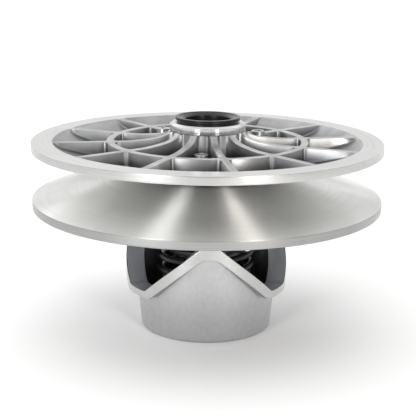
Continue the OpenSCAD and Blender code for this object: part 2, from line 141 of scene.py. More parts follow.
def rounded(corners, steps=4):
    """A polyline of (x, y) or (x, y, radius) corners. Corners with a radius are rounded."""
    out = []
    for i, (x, y, *radius) in enumerate(corners):
        if not radius:
            out.append((x, y))
            continue
        here = Vector((x, y))
        back = Vector(corners[i - 1][:2]) - here
        on = Vector(corners[(i + 1) % len(corners)][:2]) - here
        half = back.angle(on) / 2
        cut = min(radius[0] / math.tan(half), back.length * 0.49, on.length * 0.49)
        r = cut * math.tan(half)
        centre = here + (back.normalized() + on.normalized()).normalized() * (r / math.sin(half))
        first = here + back.normalized() * cut - centre
        last = here + on.normalized() * cut - centre
        start = math.atan2(first.y, first.x)
        sweep = (math.atan2(last.y, last.x) - start + math.pi) % (2 * math.pi) - math.pi
        out += arc(centre.x, centre.y, r, math.degrees(start), math.degrees(start + sweep), steps)
    return out


def close_mesh(work, mesh, angle):
    """Turns the faces outwards, smooths them, keeps edges sharper than the angle crisp."""
    bmesh.ops.recalc_face_normals(work, faces=work.faces)
    limit = math.radians(angle)
    for face in work.faces:
        face.smooth = True
    for edge in work.edges:
        edge.smooth = edge.calc_face_angle(0) < limit
    work.to_mesh(mesh)
    work.free()
    mesh.update()


def piece(name, points, faces, body, material, angle=SMOOTH_ANGLE):
    """A mesh piece from points in millimetres, riding on a body."""
    mesh = bpy.data.meshes.new(name)
    mesh.from_pydata([Vector(p) * MM for p in points], [], faces)
    work = bmesh.new()
    work.from_mesh(mesh)
    bmesh.ops.remove_doubles(work, verts=work.verts, dist=WELD * MM)
    close_mesh(work, mesh, angle)
    item = bpy.data.objects.new(name, mesh)
    bpy.context.scene.collection.objects.link(item)
    item.data.materials.append(material)
    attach(item, body)
    return item


def bridge(low, high):
    """Quads between two closed rings of point numbers."""
    return [(low[k - 1], low[k], high[k], high[k - 1]) for k in range(len(low))]


def revolve(profile, columns=128):
    """Points and faces of a closed profile of (radius, height) turned about the shaft's axis."""
    points = [(r * math.sin(a), -r * math.cos(a), z) for r, z in profile
              for a in (2 * math.pi * k / columns for k in range(columns))]
    rings = [list(range(i * columns, (i + 1) * columns)) for i in range(len(profile))]
    return points, [f for i in range(len(rings)) for f in bridge(rings[i - 1], rings[i])]


def turned(name, profile, body, material, columns=128, place=Matrix.Identity(4)):
    """A turned piece. place carries it from the shaft's axis to where it belongs."""
    points, faces = revolve(profile, columns)
    return piece(name, [place @ Vector(p) for p in points], faces, body, material)


def extruded(outline, low, high, bevel):
    """Points and faces of an anticlockwise outline pulled from low to high, its edges bevelled."""
    count = len(outline)

    def ring(inset, z):
        made = []
        for i, (x, y) in enumerate(outline):
            side = (Vector(outline[(i + 1) % count]) - Vector(outline[i - 1])).normalized()
            made.append((x - side.y * inset, y + side.x * inset, z))
        return made

    steps = [(bevel, low), (bevel * 0.3, low + bevel * 0.3), (0, low + bevel),
             (0, high - bevel), (bevel * 0.3, high - bevel * 0.3), (bevel, high)]
    points = [p for inset, z in steps for p in ring(inset, z)]
    rings = [list(range(i * count, (i + 1) * count)) for i in range(len(steps))]
    faces = [f for i in range(1, len(rings)) for f in bridge(rings[i - 1], rings[i])]
    return points, faces + [tuple(rings[0]), tuple(rings[-1])]


def on_pin(side):
    """Carries local axes onto a roller pin: +Z out along it, +X towards larger angles, +Y up."""
    turn = Matrix.Rotation(math.radians(ROLLER_PHASE + side), 4, "Z")
    return turn @ Matrix.Translation((0, 0, ROLLER_Z)) @ Matrix.Rotation(math.radians(90), 4, "X")


def joined(item, other, solver):
    """The mesh of a piece united with another one, or of the piece alone if the solver fails."""
    step = item.modifiers.new("join", "BOOLEAN")
    step.operation = "UNION"
    step.solver = solver
    step.object = other
    bpy.context.view_layer.update()
    graph = bpy.context.evaluated_depsgraph_get()
    whole = bpy.data.meshes.new_from_object(item.evaluated_get(graph))
    item.modifiers.clear()
    return whole


def unite(item, others):
    """Joins closed pieces into one surface, and removes the others.

    The manifold solver comes first, because its mesh is the cleanest. It can leave a piece out
    without saying so, and the face count shows that.
    """
    for other in others:
        before = len(item.data.polygons)
        whole = joined(item, other, "MANIFOLD")
        if len(whole.polygons) == before:
            whole = joined(item, other, "EXACT")
        if len(whole.polygons) == before:
            raise RuntimeError(other.name + " was not joined to " + item.name)
        item.data = whole
        work = bmesh.new()
        work.from_mesh(whole)
        close_mesh(work, whole, SMOOTH_ANGLE)
        bpy.data.objects.remove(other)


# ---- materials ----

def shader(name, metallic, **sockets):
    """A Principled material, and a function that adds nodes to it."""
    material = bpy.data.materials.new(name)
    material.use_nodes = True
    tree = material.node_tree
    surface = tree.nodes["Principled BSDF"]
    surface.inputs["Metallic"].default_value = metallic
    for key, value in sockets.items():
        surface.inputs[key.replace("_", " ")].default_value = value

    def add(kind, inputs=None, **settings):
        node = tree.nodes.new("ShaderNode" + kind)
        for key, value in settings.items():
            setattr(node, key, value)
        for key, value in (inputs or {}).items():
            if isinstance(value, bpy.types.NodeSocket):
                tree.links.new(value, node.inputs[key])
            else:
                node.inputs[key].default_value = value
        return node.outputs

    def link(value, socket):
        tree.links.new(value, surface.inputs[socket])

    return material, add, link


def spread(add, value, low, high):
    """Maps a value from 0.3 to 0.7, where noise mostly lies, onto low to high."""
    return add("MapRange", {"Value": value, "From Min": 0.3, "From Max": 0.7,
                            "To Min": low, "To Max": high})["Result"]


def tint(add, value, dark, light):
    """Mixes two colours by a value from 0 to 1."""
    mix = add("Mix", {0: value, 6: (*dark, 1), 7: (*light, 1)}, data_type="RGBA")
    return mix[2]


def round_coordinates(add, radial, around, along):
    """Noise coordinates that follow turning marks: radius, angle and height, each scaled."""
    place = add("TexCoord")["Object"]
    parts = add("SeparateXYZ", {0: place})
    flat = add("CombineXYZ", {"X": parts["X"], "Y": parts["Y"]})["Vector"]
    radius = add("VectorMath", {0: flat}, operation="LENGTH")["Value"]
    angle = add("Math", {0: parts["Y"], 1: parts["X"]}, operation="ARCTAN2")["Value"]
    return add("CombineXYZ", {
        "X": add("Math", {0: radius, 1: radial}, operation="MULTIPLY")["Value"],
        "Y": add("Math", {0: angle, 1: around}, operation="MULTIPLY")["Value"],
        "Z": add("Math", {0: parts["Z"], 1: along}, operation="MULTIPLY")["Value"]})["Vector"]


def turned_metal(name, dark, light, rough, anisotropy, grooves=2500.0, depth=0.05):
    """Metal with fine turning marks round the shaft, and a highlight that spreads across them."""
    material, add, link = shader(name, 1.0, Anisotropic=anisotropy, Anisotropic_Rotation=0.25)
    marks = add("TexNoise", {"Vector": round_coordinates(add, grooves, 1.2, grooves),
                             "Scale": 1.0, "Detail": 3.0})["Fac"]
    clouds = add("TexNoise", {"Vector": add("TexCoord")["Object"], "Scale": 22.0,
                              "Detail": 4.0})["Fac"]
    both = add("Math", {0: marks, 1: clouds}, operation="ADD")["Value"]
    mean = add("Math", {0: both, 1: 0.5}, operation="MULTIPLY")["Value"]
    link(tint(add, spread(add, mean, 0.0, 1.0), dark, light), "Base Color")
    link(spread(add, mean, rough * 1.2, rough * 0.82), "Roughness")
    link(add("Bump", {"Height": marks, "Strength": depth, "Distance": 0.0002})["Normal"], "Normal")
    link(add("Tangent", direction_type="RADIAL", axis="Z")["Tangent"], "Tangent")
    return material


def cast_metal(name, dark, light, rough, bump=0.12, grain=900.0, low=0.1, high=0.8, painted_shade_heights=None):
    """Die-cast or blasted metal: fine pitting, soft clouds, and edges that handling has brightened.

    The last argument gives two heights, in metres, between which the colour darkens downwards to
    0.3 of its tone: painted shade, not a property of the metal.
    """
    material, add, link = shader(name, 1.0)
    place = add("TexCoord")["Object"]
    pits = add("TexNoise", {"Vector": place, "Scale": grain, "Detail": 3.0})["Fac"]
    clouds = add("TexNoise", {"Vector": place, "Scale": 38.0, "Detail": 5.0})["Fac"]
    worn = add("MapRange", {"Value": add("NewGeometry")["Pointiness"], "From Min": 0.5,
                            "From Max": 0.56, "To Min": 0.0, "To Max": 0.35})["Result"]
    shade = add("Math", {0: spread(add, clouds, low, high), 1: worn}, operation="ADD",
                use_clamp=True)["Value"]
    # Painted shade: the colour darkens downwards between the two heights, down to 0.3 of its tone.
    if painted_shade_heights:
        height = add("SeparateXYZ", {"Vector": place})["Z"]
        painted_shade = add("MapRange", {"Value": height, "From Min": painted_shade_heights[0], "From Max": painted_shade_heights[1],
                                "To Min": 0.3, "To Max": 1.0})["Result"]
        shade = add("Math", {0: shade, 1: painted_shade}, operation="MULTIPLY")["Value"]
    link(tint(add, shade, dark, light), "Base Color")
    link(spread(add, clouds, rough * 1.25, rough * 0.8), "Roughness")
    link(add("Bump", {"Height": pits, "Strength": bump, "Distance": 0.0003})["Normal"], "Normal")
    return material


def brushed_metal(name, dark, light, rough):
    """Satin metal with short brush marks along the shaft and faint turning lines round it."""
    material, add, link = shader(name, 1.0)
    brush = add("TexNoise", {"Vector": round_coordinates(add, 600.0, 16.0, 220.0),
                             "Scale": 1.0, "Detail": 4.0})["Fac"]
    lines = add("TexNoise", {"Vector": round_coordinates(add, 200.0, 2.0, 1400.0),
                             "Scale": 1.0, "Detail": 2.0})["Fac"]
    clouds = add("TexNoise", {"Vector": add("TexCoord")["Object"], "Scale": 26.0,
                              "Detail": 4.0})["Fac"]
    both = add("Math", {0: brush, 1: clouds}, operation="ADD")["Value"]
    mean = add("Math", {0: both, 1: 0.5}, operation="MULTIPLY")["Value"]
    link(tint(add, spread(add, mean, 0.0, 1.0), dark, light), "Base Color")
    link(spread(add, brush, rough * 1.2, rough * 0.85), "Roughness")
    link(add("Bump", {"Height": lines, "Strength": 0.08, "Distance": 0.0002})["Normal"], "Normal")
    return material


def coated(name, dark, light, rough, metallic=0.0, grain=600.0, bump=0.1, **sockets):
    """Oxide, paint, plastic or rubber: a fine grain, with slow changes of gloss and colour."""
    material, add, link = shader(name, metallic, **sockets)
    place = add("TexCoord")["Object"]
    fine = add("TexNoise", {"Vector": place, "Scale": grain, "Detail": 3.0})["Fac"]
    clouds = add("TexNoise", {"Vector": place, "Scale": 60.0, "Detail": 4.0})["Fac"]
    link(tint(add, spread(add, clouds, 0.0, 1.0), dark, light), "Base Color")
    link(spread(add, clouds, rough * 1.25, rough * 0.75), "Roughness")
    link(add("Bump", {"Height": fine, "Strength": bump, "Distance": 0.0003})["Normal"], "Normal")
    return material


MATERIALS = {
    # Painted shade: the colour darkens from 0.149 m down to 0.140 m, so the fixed sheave's pocket
    # floors and all cast parts below them come out darker.
    "cast_aluminium": cast_metal(
        "cast_aluminium", (0.08, 0.083, 0.092), (0.47, 0.47, 0.47), 0.38,
        low=0.46, high=0.86, painted_shade_heights=(0.140, 0.149)),
    # Near-black cast metal that stands for the shade inside the cam cup: painted shade.
    "cast_dark": cast_metal("cast_dark", (0.03, 0.031, 0.034), (0.07, 0.073, 0.08), 0.46),
    "turned_aluminium": turned_metal(
        "turned_aluminium", (0.71, 0.71, 0.695), (0.85, 0.85, 0.83), 0.42, 1.0),
    "machined_aluminium": turned_metal(
        "machined_aluminium", (0.47, 0.47, 0.465), (0.59, 0.59, 0.58), 0.30, 0.5, 1400.0, 0.08),
    "ramp_aluminium": cast_metal("ramp_aluminium", (0.70, 0.73, 0.78), (0.90, 0.93, 0.97), 0.55),
    # A darker copy of the machined finish, used on the moving sheave's rim: painted shade.
    "rim_aluminium": turned_metal(
        "rim_aluminium", (0.31, 0.31, 0.308), (0.42, 0.42, 0.415), 0.30, 0.4, 1400.0, 0.08),
    "polished_aluminium": turned_metal(
        "polished_aluminium", (0.64, 0.64, 0.635), (0.77, 0.77, 0.765), 0.10, 0.3, 1100.0, 0.04),
    "brushed_aluminium": brushed_metal(
        "brushed_aluminium", (0.49, 0.49, 0.50), (0.58, 0.58, 0.59), 0.36),
    "black_steel": coated(
        "black_steel", (0.006, 0.006, 0.007), (0.018, 0.018, 0.020), 0.28,
        Specular_IOR_Level=0.35),
    "black_spring": coated(
        "black_spring", (0.006, 0.006, 0.007), (0.016, 0.016, 0.018), 0.26,
        Specular_IOR_Level=0.35),
    "spring_steel": cast_metal("spring_steel", (0.12, 0.12, 0.13), (0.24, 0.24, 0.25), 0.38),
    "key_steel": cast_metal("key_steel", (0.42, 0.43, 0.45), (0.60, 0.61, 0.63), 0.28, 0.05),
    "screw_steel": cast_metal("screw_steel", (0.74, 0.74, 0.74), (0.90, 0.90, 0.90), 0.16, 0.04),
    "bronze": cast_metal("bronze", (0.36, 0.22, 0.09), (0.55, 0.37, 0.17), 0.36, 0.2, 1800.0),
    "nylon": coated("nylon", (0.60, 0.56, 0.45), (0.74, 0.70, 0.59), 0.45),
    "roller_polymer": coated(
        "roller_polymer", (0.012, 0.012, 0.012), (0.030, 0.030, 0.031), 0.42),
    "seal_rubber": coated("seal_rubber", (0.010, 0.010, 0.010), (0.022, 0.022, 0.022), 0.62),
}


# ---- castings: radial ribs with rounded pockets between them ----

ARC_HALF = 8                # steps along half of a pocket's inner or outer side
CORNER = 4                  # steps round a pocket's corner, an even number
SIDE = 14                   # steps along a rib
HALF = 2 * ARC_HALF + 2 * CORNER + SIDE
COLUMNS = RIBS * (2 * ARC_HALF + 2)


def wall_profile(edge=0.5, draft=0.6, foot=2.4, depth=13.0):
    """How a pocket's wall goes down from its rounded edge, as (inset, share of the depth)."""
    high = [(edge * math.sin(t), edge * (1 - math.cos(t)) / depth)
            for t in (math.radians(30 * i) for i in range(4))]
    start = 1 - foot / depth
    low = [(edge + draft + foot * (1 - math.cos(t)), start + (1 - start) * math.sin(t))
           for t in (math.radians(18 * i) for i in range(6))]
    return high + low


def half_outline(lo, hi, half, corner):
    """Right half of a pocket's outline as (x, y), with +X along its centre line."""
    rib = Vector((math.cos(HALF_SECTOR), math.sin(HALF_SECTOR)))
    towards = Vector((-rib.y, rib.x))
    inner = HALF_SECTOR - math.asin((half + corner) / (lo + corner))
    outer = HALF_SECTOR - math.asin((half + corner) / (hi - corner))

    def at(r, a):
        return Vector((r * math.cos(a), r * math.sin(a)))

    first, second = at(lo + corner, inner), at(hi - corner, outer)
    flat = HALF_SECTOR + math.pi / 2
    out = [at(lo, inner * i / ARC_HALF) for i in range(ARC_HALF + 1)]
    for k in range(1, CORNER + 1):
        out.append(first + at(corner, inner + math.pi + (flat - inner - math.pi) * k / CORNER))
    start, end = first + towards * corner, second + towards * corner
    out += [start.lerp(end, i / SIDE) for i in range(1, SIDE + 1)]
    for k in range(1, CORNER + 1):
        out.append(second + at(corner, flat + (outer - flat) * k / CORNER))
    out += [at(hi, outer * (1 - i / ARC_HALF)) for i in range(1, ARC_HALF + 1)]
    return out


def outline(lo, hi, half, corner):
    """A pocket's whole outline, from the middle of its inner side and round."""
    right = half_outline(lo, hi, half, corner)
    return right + [Vector((p.x, -p.y)) for p in reversed(right[1:-1])]


def neck_weight(i):
    """1 along a pocket's inner side, falling to 0 round the corners beside it."""
    step = min(i, 2 * HALF - i)
    t = min(1.0, max(0.0, (step - ARC_HALF) / CORNER))
    return 1 - t * t * (3 - 2 * t)


class Casting:
    """Points and faces of a ribbed casting, gathered ring by ring."""

    def __init__(self, phase, half, corner=3.4):
        self.points, self.faces = [], []
        self.phase, self.half, self.corner = phase, half, corner

    def add(self, found):
        """Adds points, and returns their numbers."""
        start = len(self.points)
        self.points += found
        return list(range(start, len(self.points)))

    def spot(self, r, angle, z):
        """A point at a radius, at radians from -Y towards +X, and at a height."""
        return (r * math.sin(angle), -r * math.cos(angle), z)

    def centre(self, k):
        """Radians to the middle of a pocket."""
        return math.radians(self.phase) + HALF_SECTOR * (2 * k + 1)

    def pocket(self, k, lo, hi, top, floor, overhang=0.0):
        """One pocket. Returns the point numbers of its outline."""
        turn = self.centre(k)
        mouth = outline(lo, hi, self.half, self.corner)
        rings = []
        for inset, share in wall_profile():
            shape = outline(lo + inset, hi - inset, self.half + inset,
                            max(self.corner - inset, 0.7))
            ring = []
            for i, p in enumerate(shape):
                r = p.length - overhang * neck_weight(i) * min(1.0, inset * 4)
                high = top(mouth[i].length)
                z = high - share * (high - floor(r))
                ring.append(self.spot(r, turn + math.atan2(p.y, p.x), z))
            rings.append(self.add(ring))
        for above, below in zip(rings, rings[1:]):
            self.faces += bridge(above, below)
        self.fill(rings[-1], floor)
        return rings[0]

    def fill(self, ring, floor):
        """Floor of a pocket: a grid of points blended from its four sides."""
        count = 2 * HALF
        near = ARC_HALF + CORNER // 2
        far = HALF - near
        width, length = 2 * near, far - near
        low = [ring[(i - near) % count] for i in range(width + 1)]
        right = [ring[near + j] for j in range(length + 1)]
        high = [ring[(HALF + near - i) % count] for i in range(width + 1)]
        left = [ring[(count - near - j) % count] for j in range(length + 1)]

        def place(number):
            return Vector(self.points[number])

        grid = []
        for j in range(length + 1):
            v = j / length
            row = []
            for i in range(width + 1):
                u = i / width
                if j in (0, length) or i in (0, width):
                    row.append(low[i] if j == 0 else high[i] if j == length
                               else left[j] if i == 0 else right[j])
                    continue
                p = (place(low[i]) * (1 - v) + place(high[i]) * v
                     + place(left[j]) * (1 - u) + place(right[j]) * u
                     - place(low[0]) * (1 - u) * (1 - v) - place(low[width]) * u * (1 - v)
                     - place(high[0]) * (1 - u) * v - place(high[width]) * u * v)
                row += self.add([(p.x, p.y, floor(math.hypot(p.x, p.y)))])
            grid.append(row)
        for j in range(length):
            for i in range(width):
                self.faces.append((grid[j][i], grid[j][i + 1], grid[j + 1][i + 1], grid[j + 1][i]))

    def band(self, lo, hi, top, floor, overhang=0.0):
        """A ring of pockets with the rib tops between them. Returns its inner and outer circles."""
        mouths = [self.pocket(k, lo, hi, top, floor, overhang) for k in range(RIBS)]
        inner, outer = [], []
        for k, mouth in enumerate(mouths):
            after = mouths[(k + 1) % RIBS]
            rib = self.centre(k) + HALF_SECTOR
            span = range(ARC_HALF, HALF - ARC_HALF + 1)
            radii = [math.hypot(*self.points[mouth[i]][:2]) for i in span]
            middle = self.add([self.spot(r, rib, top(r)) for r in radii])
            right = [mouth[i] for i in span]
            left = [after[2 * HALF - i] for i in span]
            for a, b in ((right, middle), (middle, left)):
                self.faces += [(a[i], a[i + 1], b[i + 1], b[i]) for i in range(len(a) - 1)]
            inner += mouth[2 * HALF - ARC_HALF:] + mouth[:ARC_HALF + 1] + [middle[0]]
            outer += mouth[HALF - ARC_HALF:HALF + ARC_HALF + 1][::-1] + [middle[-1]]
        return inner, outer

    def turned(self, profile, start, end):
        """Turned surfaces along a profile, from one circle of points to another."""
        last = start
        step = 2 * math.pi / COLUMNS
        for r, z in profile:
            ring = self.add([self.spot(r, self.centre(0) + (n - ARC_HALF) * step, z)
                             for n in range(COLUMNS)])
            self.faces += bridge(last, ring)
            last = ring
        self.faces += bridge(last, end)


def zone(item, test, material):
    """Gives the faces whose middle passes the test, in millimetres, a second material."""
    item.data.materials.append(material)
    number = len(item.data.materials) - 1
    for face in item.data.polygons:
        c = face.center / MM
        if test(math.hypot(c.x, c.y), c.z, face.normal):
            face.material_index = number


def fixed_sheave():
    """Fixed sheave: turned cone below, ribs and pockets above, hub, collar and three bosses."""
    def top(r):
        """Height of the rib tops."""
        t = min(1.0, max(0.0, (NECK_R - r) / (NECK_R - COLLAR_R)))
        step = min(1.0, max(0.0, (r - RIM_FACE_R + 0.5) / 0.5))
        neck = NECK_RISE * t ** 1.3 + (COLLAR_LOW - RIB_TOP - NECK_RISE) * t ** 8
        return RIB_TOP + 0.3 * step + neck

    def floor(r):
        """Height of the pocket floors, which sweep up to the rim and to the hub."""
        cone = FIXED_LOW - (SHEAVE_R - max(r, HUB_FACE_R)) * FACE_TAN + WEB
        swept = max(0.0, (r - 106) / (RIM_FACE_R - 106))
        flare = max(0.0, (36 - r) / (36 - HUB_R))
        rim = FIXED_TOP - (FIXED_LOW - (SHEAVE_R - RIM_FACE_R) * FACE_TAN + WEB)
        return cone + rim * swept ** 3 + 3.0 * flare ** 2

    lip = COLLAR_R - 0.5
    casting = Casting(RIB_PHASE, RIB_HALF)
    collar, inner = casting.band(lip, RING_R - RIB_HALF, top, floor, lip - HUB_R)
    outer, rim = casting.band(RING_R + RIB_HALF, RIM_FACE_R, top, floor)
    casting.faces += bridge(inner, outer)
    casting.turned(rounded([
        (RIM_FACE_R + EDGE_BAND, FIXED_TOP), (SHEAVE_R - EDGE_BAND, FIXED_TOP),
        (SHEAVE_R, FIXED_TOP, 0.4), (SHEAVE_R, FIXED_TOP - EDGE_BAND),
        (SHEAVE_R, FIXED_LOW + EDGE_BAND), (SHEAVE_R, FIXED_LOW, 0.4),
        (SHEAVE_R - EDGE_BAND, FIXED_LOW - EDGE_BAND * FACE_TAN), (HUB_FACE_R, FIXED_HUB_Z, 6),
        (SHAFT_FIT, FIXED_HUB_Z, 0.4), (SHAFT_FIT, COLLAR_TOP, 0.4),
        (COLLAR_R - 2.4, COLLAR_TOP, 0.5), (COLLAR_R, COLLAR_TOP - 1.5, 0.5),
        (COLLAR_R, COLLAR_LOW + 0.9), (COLLAR_R, COLLAR_LOW + 0.4),
        (COLLAR_R - 0.2, COLLAR_LOW + 0.2)]), rim, collar)
    item = piece("fixed_sheave_casting", casting.points, casting.faces, ROOT,
                 MATERIALS["cast_aluminium"])
    bosses = []
    for k in range(3):
        angle = casting.centre(4 * k - 1)
        place = Matrix.Translation(casting.spot(BOSS_R, angle, 0))
        low = floor(BOSS_R)
        high = BOSS_TOP if k else BOSS_FIRST_TOP
        profile = rounded([
            (0.001, low - 2), (8, low - 2), (7.4, low - 0.2), (5.9, low + 2.2, 2),
            (5.4, high, 0.5), (2.5, high, 0.4), (2.5, BOSS_TOP - 14), (0.001, BOSS_TOP - 15.4)])
        bosses.append(turned("boss_%d" % k, profile, ROOT,
                             MATERIALS["cast_aluminium"], 32, place))
    unite(item, bosses)
    zone(item, lambda r, z, n: n.z < -0.5 and z < FIXED_LOW + 0.2 or r < SHAFT_FIT + 0.5,
         MATERIALS["turned_aluminium"])
    zone(item, lambda r, z, n: r > RIM_FACE_R - 0.3 and z > FIXED_LOW and n.z > -0.5,
         MATERIALS["machined_aluminium"])
    chamfer = COLLAR_TOP - 1.5
    zone(item, lambda r, z, n: SHAFT_FIT < r < COLLAR_R + 0.1 and COLLAR_LOW < z < chamfer,
         MATERIALS["polished_aluminium"])
    zone(item, lambda r, z, n: SHAFT_FIT < r < COLLAR_R + 0.1 and z > chamfer,
         MATERIALS["machined_aluminium"])
    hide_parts("fixed_sheave")


def tower(side):
    """One tower that holds a roller pin, with the ear and the standoff of its keeper screw."""
    high = MOVING_HUB_Z - 3.5 - ROLLER_Z
    shape = [(-7.8, high)] + arc(0, 0, 7.8, 180, 345, 14) + [(8.5, 1.0)]
    shape += arc(SCREW_SIDE, -SCREW_DROP, 4.2, 190, 360, 10) + [(SCREW_SIDE + 4.2, high)]
    points, faces = extruded(shape, TOWER_IN, TOWER_OUT, 0.7)
    body = piece("tower_%d" % side, [on_pin(side) @ Vector(p) for p in points], faces, MOVING,
                 MATERIALS["cast_aluminium"])
    place = on_pin(side) @ Matrix.Translation((SCREW_SIDE, -SCREW_DROP, 0))
    profile = rounded([(0.001, TOWER_OUT - 2), (3.3, TOWER_OUT - 2), (3.3, KEEPER_IN - 0.03, 0.3),
                       (0.001, KEEPER_IN - 0.03)])
    standoff = turned("standoff_%d" % side, profile, MOVING,
                      MATERIALS["cast_aluminium"], 32, place)
    return [body, standoff]


def moving_sheave():
    """Moving sheave: turned cone above, ribs and pockets below, hub and three towers."""
    def web(r):
        """Height of the pocket floors, which sweep down to the rim."""
        cone = MOVING_HUB_Z + (HUB_FACE_R - r) * FACE_TAN - WEB
        swept = max(0.0, (r - 112) / 10)
        drop = MOVING_HUB_Z + (HUB_FACE_R - MOVING_RIM_IN) * FACE_TAN - WEB - MOVING_LOW
        return cone - drop * swept ** 2

    def rib(r):
        """Height of the ribs' free edges."""
        t = min(1.0, max(0.0, (r - 66) / 9))
        outer = MOVING_LOW + 2 * (MOVING_RIM_IN - r) / 48
        return TOWER_RIB_LOW + (outer - TOWER_RIB_LOW) * t * t * (3 - 2 * t)

    casting = Casting(ROLLER_PHASE + 15, 2.0)
    hub, rim = casting.band(SPRING_SEAT_R, MOVING_RIM_IN, rib, web)
    casting.turned(rounded([
        (MOVING_RIM_IN + 0.8, MOVING_LOW), (SHEAVE_R - EDGE_BAND, MOVING_LOW),
        (SHEAVE_R, MOVING_LOW, 0.5), (SHEAVE_R, MOVING_LOW + EDGE_BAND),
        (SHEAVE_R, MOVING_TOP - EDGE_BAND), (SHEAVE_R, MOVING_TOP, 0.4),
        (SHEAVE_R - EDGE_BAND, MOVING_TOP + EDGE_BAND * FACE_TAN), (HUB_FACE_R, MOVING_HUB_Z, 6),
        (24.4, MOVING_HUB_Z, 0.5), (24.4, HUB_LOW, 0.5), (30, HUB_LOW, 1.0),
        (30, SPRING_SEAT_Z, 1.5), (SPRING_SEAT_R, SPRING_SEAT_Z, 0.8),
        (SPRING_SEAT_R, 109.0)]), rim, hub)
    item = piece("moving_sheave_casting", casting.points, casting.faces, MOVING,
                 MATERIALS["cast_aluminium"])
    unite(item, [part for side in PEAKS for part in tower(side)])
    zone(item, lambda r, z, n: n.z > 0.5 and r > 24 and z > MOVING_TOP - 0.3,
         MATERIALS["turned_aluminium"])
    # The moving sheave's rim gets the darker copy of the machined finish: painted shade.
    zone(item, lambda r, z, n: r > 122.5 and (z < MOVING_TOP - 0.3 or abs(n.z) < 0.5),
         MATERIALS["rim_aluminium"])
    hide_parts("moving_sheave")


# ---- cam ----

FLANGE_R = 64.0
WALL_IN = 49.6
FOOT = 50.0                 # degrees from a peak to the foot of its ramp
RISE = 0.906                # millimetres for each degree
VALLEY_TOP = 38.5
VALLEY_LOW = 33.0
PEAK_LOW = 69.0
BAND = 9.6                  # height of the outer band under a ramp
CUP_R = 52.0                # outer radius above the rounded foot
CUP_TAPER = 2.6             # how much the cup widens up to the valleys
CUP_ROUND = 2.4


def ramp(angle):
    """Height of a ramp at some degrees from its peak."""
    return VALLEY_TOP + (FOOT - angle) * RISE


def soft_clamp(value, low, high, softness=0.8):
    """A value held between low and high, with rounded corners where it meets them."""
    def soft_max(a, b):
        return (a + b + math.sqrt((a - b) ** 2 + softness ** 2)) / 2
    return -soft_max(-soft_max(value, low), -high)


def cam_edge():
    """Upper outline of the cam, all the way round, as (degrees, height) points."""
    valley = PEAKS[1] / 2
    side = rounded([(0, CAM_TOP), (FOOT - (CAM_TOP - VALLEY_TOP) / RISE, CAM_TOP, 1.5),
                    (FOOT, VALLEY_TOP, 5), (valley, VALLEY_TOP)], 6)
    dense = []
    for (a, z), (b, y) in zip(side, side[1:]):
        steps = max(1, math.ceil((b - a) / 2))
        dense += [(a + (b - a) * i / steps, z + (y - z) * i / steps) for i in range(steps)]
    dense += [(valley, VALLEY_TOP)] + [(2 * valley - a, z) for a, z in reversed(dense[1:])]
    return [(a + peak, z) for peak in PEAKS for a, z in dense]


def cam_section(angle, height, tilt, lean):
    """One slice of the cam as (radius, degrees, height); tilt and lean point off its upper face."""
    from_peak = min(angle % PEAKS[1], PEAKS[1] - angle % PEAKS[1])
    low = soft_clamp(ramp(from_peak) - BAND, VALLEY_LOW, PEAK_LOW)

    def wall(z):
        """Outer radius of the cup."""
        if z < VALLEY_LOW:
            return CUP_R + CUP_TAPER * (z - CUP_ROUND) / (VALLEY_LOW - CUP_ROUND)
        return CUP_R + CUP_TAPER + (z - VALLEY_LOW) / 48

    def edge(r, depth):
        """A point under the upper face."""
        return (r, angle - tilt * depth, height - lean * depth)

    rows = [(r, angle, z) for r, z in rounded([
        (SHAFT_FIT, 6), (SHAFT_FIT, 23, 0.5), (31, 23, 0.8), (31, 8, 1.2), (47, 8, 2.0),
        (47, 27, 2), (WALL_IN, 33)], 3)]
    rows += [edge(WALL_IN, 0.8), edge(WALL_IN, 0.4), edge(WALL_IN + 0.12, 0.12),
             edge(WALL_IN + 0.4, 0), edge(WALL_IN + 0.8, 0), edge(57, 0), edge(FLANGE_R - 0.7, 0),
             edge(FLANGE_R - 0.3, 0), edge(FLANGE_R - 0.08, 0.08), edge(FLANGE_R, 0.3),
             edge(FLANGE_R, 0.7)]
    rows += [(FLANGE_R, angle, low + 0.8), (FLANGE_R, angle, low + 0.4),
             (FLANGE_R - 0.12, angle, low + 0.12), (FLANGE_R - 0.4, angle, low),
             (FLANGE_R - 0.8, angle, low), (wall(low) + 1.8, angle, low),
             (wall(low) + 0.6, angle, low - 0.4), (wall(low) + 0.1, angle, low - 1.2)]
    for share in (1, 0.8, 0.6, 0.4, 0.2, 0.05):
        z = CUP_ROUND + share * (low - 5)
        rows.append((wall(z), angle, z))
    rows += [(CUP_R - CUP_ROUND + x, angle, CUP_ROUND + y)
             for x, y in arc(0, 0, CUP_ROUND, 0, -90, 4)]
    rows += [(r, angle, z) for r, z in rounded([(40, 0), (27, 0, 0.6), (27, 6)], 3)]
    return rows


